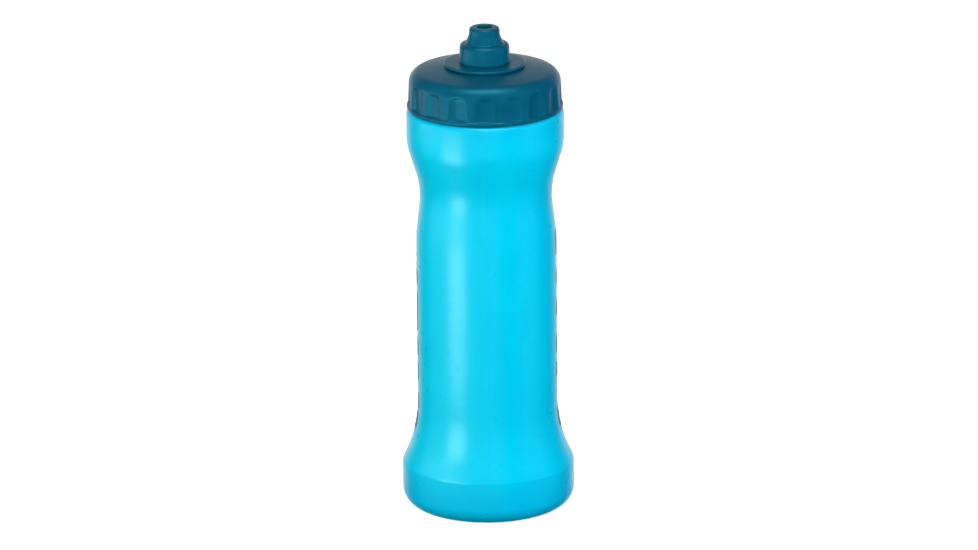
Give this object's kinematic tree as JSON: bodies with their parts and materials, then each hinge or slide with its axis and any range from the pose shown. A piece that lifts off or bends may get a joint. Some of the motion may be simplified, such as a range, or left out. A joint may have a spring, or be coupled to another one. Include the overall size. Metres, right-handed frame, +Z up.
{
  "type": "squeeze bottle",
  "caption": "Waisted translucent squeeze bottle with a fluted screw cap and a push-pull spout on a round flange.",
  "frame": {"origin": "on the bottle's axis, on the surface it stands on", "axes": "+Z up along the bottle's axis towards the spout; +X to the right and -Y to the front; the printed marks are at +X and -X"},
  "size_m": [0.073, 0.073, 0.2094],
  "materials": {
    "bottle_plastic": "translucent satin, blow-moulded",
    "cap_plastic": "satin, injection-moulded",
    "spout_plastic": "satin, injection-moulded",
    "seal_rubber": "matt translucent silicone",
    "print_ink": "screen-printed ink"
  },
  "bodies": {
    "bottle": {"bottle_body": "bottle_plastic"},
    "gasket": {"cap_gasket": "seal_rubber"},
    "cap": {"screw_cap": "cap_plastic", "spout_base": "spout_plastic", "base_washer": "seal_rubber"},
    "spout": {"pull_spout": "spout_plastic"}
  },
  "joints": [
    {"name": "cap_lift", "type": "slide", "parent": "bottle", "child": "gasket", "axis": [0, 0, 1], "range_m": [0, 0.0175]},
    {"name": "cap_turn", "type": "hinge", "parent": "gasket", "child": "cap", "pos_m": [0, 0, 0.18], "axis": [0, 0, 1], "range_deg": [0, 1260]},
    {"name": "spout_pull", "type": "slide", "parent": "cap", "child": "spout", "axis": [0, 0, 1], "range_m": [0, 0.0044]}
  ],
  "couplings": [
    {"joint": "cap_lift", "follows": "cap_turn", "m_per_rad": 0.00079577}
  ]
}
